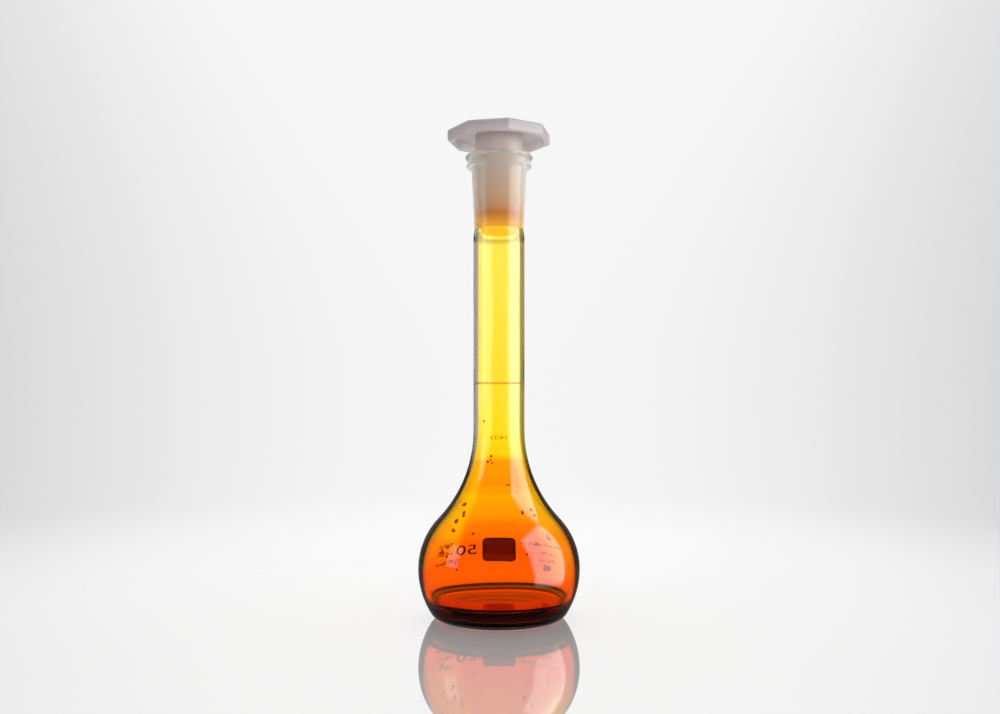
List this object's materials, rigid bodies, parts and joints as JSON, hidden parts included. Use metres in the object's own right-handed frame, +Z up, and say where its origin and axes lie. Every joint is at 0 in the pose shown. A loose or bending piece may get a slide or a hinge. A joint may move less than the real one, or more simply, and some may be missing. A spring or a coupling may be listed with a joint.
{
  "type": "volumetric flask",
  "caption": "Amber glass volumetric flask with a long narrow neck, graduation ring, ground taper socket and lift-out octagonal stopper.",
  "frame": {"origin": "centre of the face the flask stands on, on the axis of the neck", "axes": "+Z up along the neck towards the stopper; the printed marks are on the +Y side"},
  "size_m": [0.05, 0.0502, 0.1506],
  "materials": {
    "amber_glass": "clear amber-stained borosilicate, fire polished",
    "ground_glass": "frosted, ground inside the taper",
    "polyethylene": "translucent moulded polyethylene, satin",
    "enamel": "fired matt white enamel",
    "solution": "still liquid surface"
  },
  "bodies": {
    "flask": {"flask_body": "amber_glass", "ground_socket": "ground_glass", "solution": "solution", "graduation_mark": "enamel", "print_neck_size": "enamel", "writing_patch": "enamel", "print_left_row_1": "enamel", "print_left_row_2": "enamel", "print_left_row_3": "enamel", "print_class_box": "enamel", "print_right_row_1": "enamel", "print_right_row_2": "enamel", "print_right_row_3": "enamel"},
    "stopper": {"stopper": "polyethylene"}
  },
  "joints": [
    {"name": "stopper_lift", "type": "slide", "parent": "flask", "child": "stopper", "axis": [0, 0, 1], "range_m": [0, 0.03]}
  ]
}
